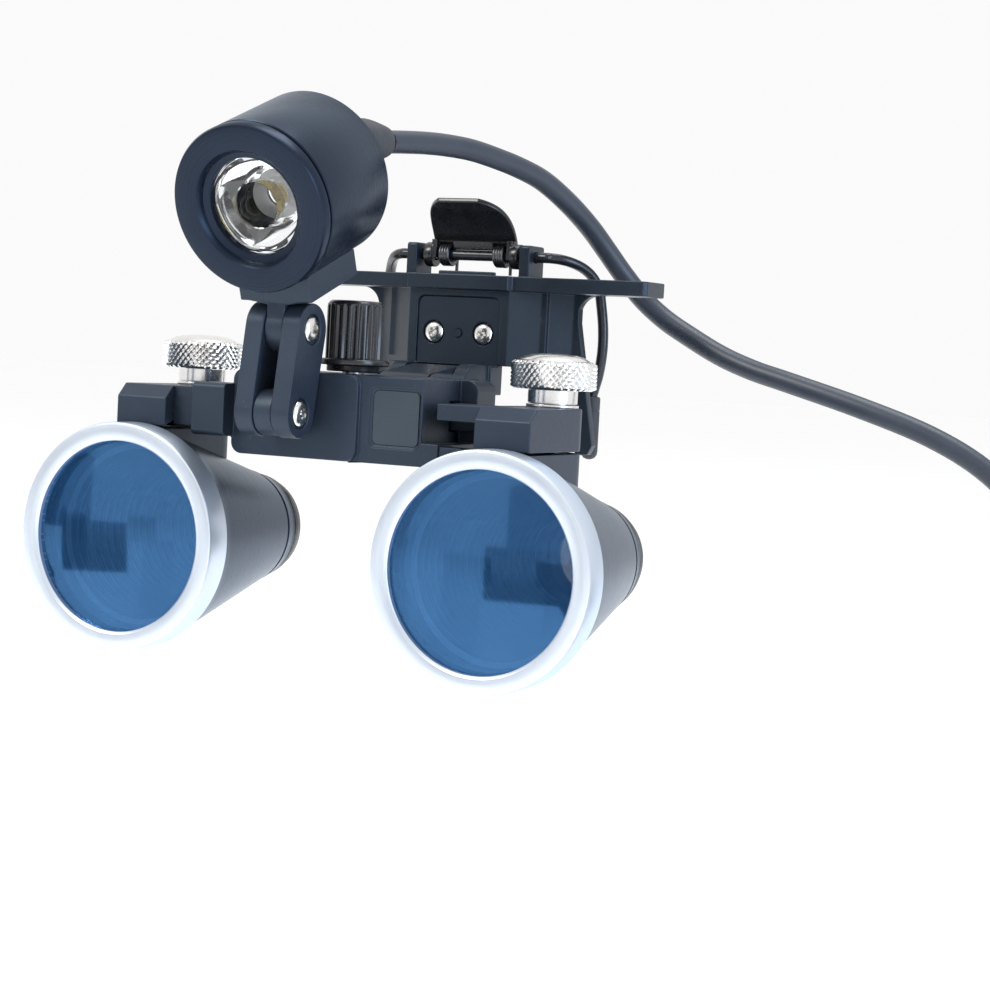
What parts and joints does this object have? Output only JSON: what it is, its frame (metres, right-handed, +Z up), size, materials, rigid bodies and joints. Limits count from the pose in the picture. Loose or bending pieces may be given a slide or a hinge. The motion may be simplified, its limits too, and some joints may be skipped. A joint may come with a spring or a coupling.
{
  "type": "flip-up dental loupes",
  "caption": "Clip-on flip-up binocular dental loupes: two conical barrels on a geared eye-spacing slide, with a tilting corded lamp and a sprung spectacle clip.",
  "frame": {"origin": "middle of the gap that holds the spectacles, between the clip and its clamp, on the middle plane", "axes": "+X to the right seen from in front, +Y back towards the wearer, +Z up; the barrels look along -Y"},
  "size_m": [0.1642, 0.0788, 0.1473],
  "materials": {
    "black_plastic": "fine moulded satin",
    "slate_plastic": "fine moulded satin",
    "grey_plastic": "fine moulded satin",
    "gloss_black": "gloss",
    "soft_rubber": "satin",
    "cord_pvc": "matt moulded",
    "nickel_screws": "bright",
    "nickel_knob": "bright knurled",
    "spring_steel": "blackened",
    "black_wire": "black coated",
    "pinion_steel": "turned",
    "black_anodised": "satin black anodised",
    "satin_ring": "satin silver",
    "bare_aluminium": "machined",
    "blue_glass": "coated",
    "clear_optic": "polished",
    "led_yellow": "phosphor",
    "white_board": "solder mask",
    "baffle_black": "stepped matt"
  },
  "bodies": {
    "clip": {"clip_frame": "black_plastic", "hinge_base": "slate_plastic", "base_screws": "nickel_screws", "locating_pin": "black_plastic", "torsion_springs": "spring_steel", "flip_screw": "nickel_screws"},
    "clamp": {"clamp_wire": "black_wire", "clamp_paddle": "gloss_black", "rubber_tips": "soft_rubber"},
    "link": {"hinge_link": "slate_plastic", "tilt_screw": "nickel_screws"},
    "carriage": {"centre_housing": "slate_plastic", "rack_cover": "grey_plastic"},
    "knob": {"pinion": "pinion_steel", "spacing_knob": "gloss_black"},
    "left_slide": {"left_rack": "slate_plastic", "left_carrier": "slate_plastic", "left_washer": "nickel_knob"},
    "right_slide": {"right_rack": "slate_plastic", "right_carrier": "slate_plastic", "right_washer": "nickel_knob"},
    "left_barrel": {"left_foot": "black_anodised", "left_ring": "satin_ring", "left_tube": "black_anodised", "left_objective": "blue_glass", "left_baffle": "baffle_black", "left_eye_lens": "clear_optic", "left_eye_ring": "gloss_black"},
    "right_barrel": {"right_foot": "black_anodised", "right_ring": "satin_ring", "right_tube": "black_anodised", "right_objective": "blue_glass", "right_baffle": "baffle_black", "right_eye_lens": "clear_optic", "right_eye_ring": "gloss_black"},
    "left_screw": {"left_thumb_screw": "nickel_knob", "left_stud": "pinion_steel"},
    "right_screw": {"right_thumb_screw": "nickel_knob", "right_stud": "pinion_steel"},
    "arm": {"lamp_arm": "slate_plastic", "arm_screws": "nickel_screws"},
    "lamp": {"lamp_shell": "black_anodised", "lamp_bezel": "black_anodised", "lamp_optic": "clear_optic", "lamp_led": "led_yellow", "lamp_board": "white_board", "lamp_heat_sink": "bare_aluminium", "lamp_back": "black_anodised", "lamp_foot": "black_anodised", "cord_gland": "soft_rubber", "cord_lead": "cord_pvc", "cord_hank": "cord_pvc", "cord_tie": "soft_rubber", "plug_cover": "soft_rubber", "plug_barrel": "nickel_screws"}
  },
  "joints": [
    {"name": "flip_up", "type": "hinge", "parent": "clip", "child": "link", "pos_m": [0, -0.0145, -0.0055], "axis": [-1, 0, 0], "range_deg": [0, 35]},
    {"name": "declination", "type": "hinge", "parent": "link", "child": "carriage", "pos_m": [0, -0.023, -0.0065], "axis": [1, 0, 0], "range_deg": [0, 10]},
    {"name": "left_spacing", "type": "slide", "parent": "carriage", "child": "left_slide", "axis": [-1, 0, 0], "range_m": [-0.0015, 0.007]},
    {"name": "right_spacing", "type": "slide", "parent": "carriage", "child": "right_slide", "axis": [1, 0, 0], "range_m": [-0.0015, 0.007]},
    {"name": "spacing_turn", "type": "hinge", "parent": "carriage", "child": "knob", "pos_m": [0, -0.0395, 0], "axis": [0, 0, 1], "range_deg": [-134, 29]},
    {"name": "left_toe", "type": "hinge", "parent": "left_slide", "child": "left_barrel", "pos_m": [-0.02845, -0.0342, -0.0066], "axis": [0, 0, 1], "range_deg": [-4, 4]},
    {"name": "right_toe", "type": "hinge", "parent": "right_slide", "child": "right_barrel", "pos_m": [0.02845, -0.0342, -0.0066], "axis": [0, 0, 1], "range_deg": [-4, 4]},
    {"name": "left_screw_turn", "type": "hinge", "parent": "left_slide", "child": "left_screw", "pos_m": [-0.02845, -0.0342, -0.004], "axis": [0, 0, 1], "range_deg": [0, 360]},
    {"name": "right_screw_turn", "type": "hinge", "parent": "right_slide", "child": "right_screw", "pos_m": [0.02845, -0.0342, -0.004], "axis": [0, 0, 1], "range_deg": [0, 360]},
    {"name": "arm_swing", "type": "hinge", "parent": "carriage", "child": "arm", "pos_m": [-0.0055, -0.0509, -0.00925], "axis": [1, 0, 0], "range_deg": [0, 20]},
    {"name": "lamp_tilt", "type": "hinge", "parent": "arm", "child": "lamp", "pos_m": [-0.0055, -0.0488, 0.0022], "axis": [1, 0, 0], "range_deg": [-3, 12]},
    {"name": "clamp_open", "type": "hinge", "parent": "clip", "child": "clamp", "pos_m": [0, -0.004, 0.015], "axis": [1, 0, 0], "range_deg": [0, 12], "stiffness_Nm_per_rad": 0.06, "springref_deg": -28.65}
  ],
  "couplings": [
    {"joint": "right_spacing", "follows": "left_spacing", "ratio": 1},
    {"joint": "spacing_turn", "follows": "left_spacing", "rad_per_m": -333.33}
  ]
}
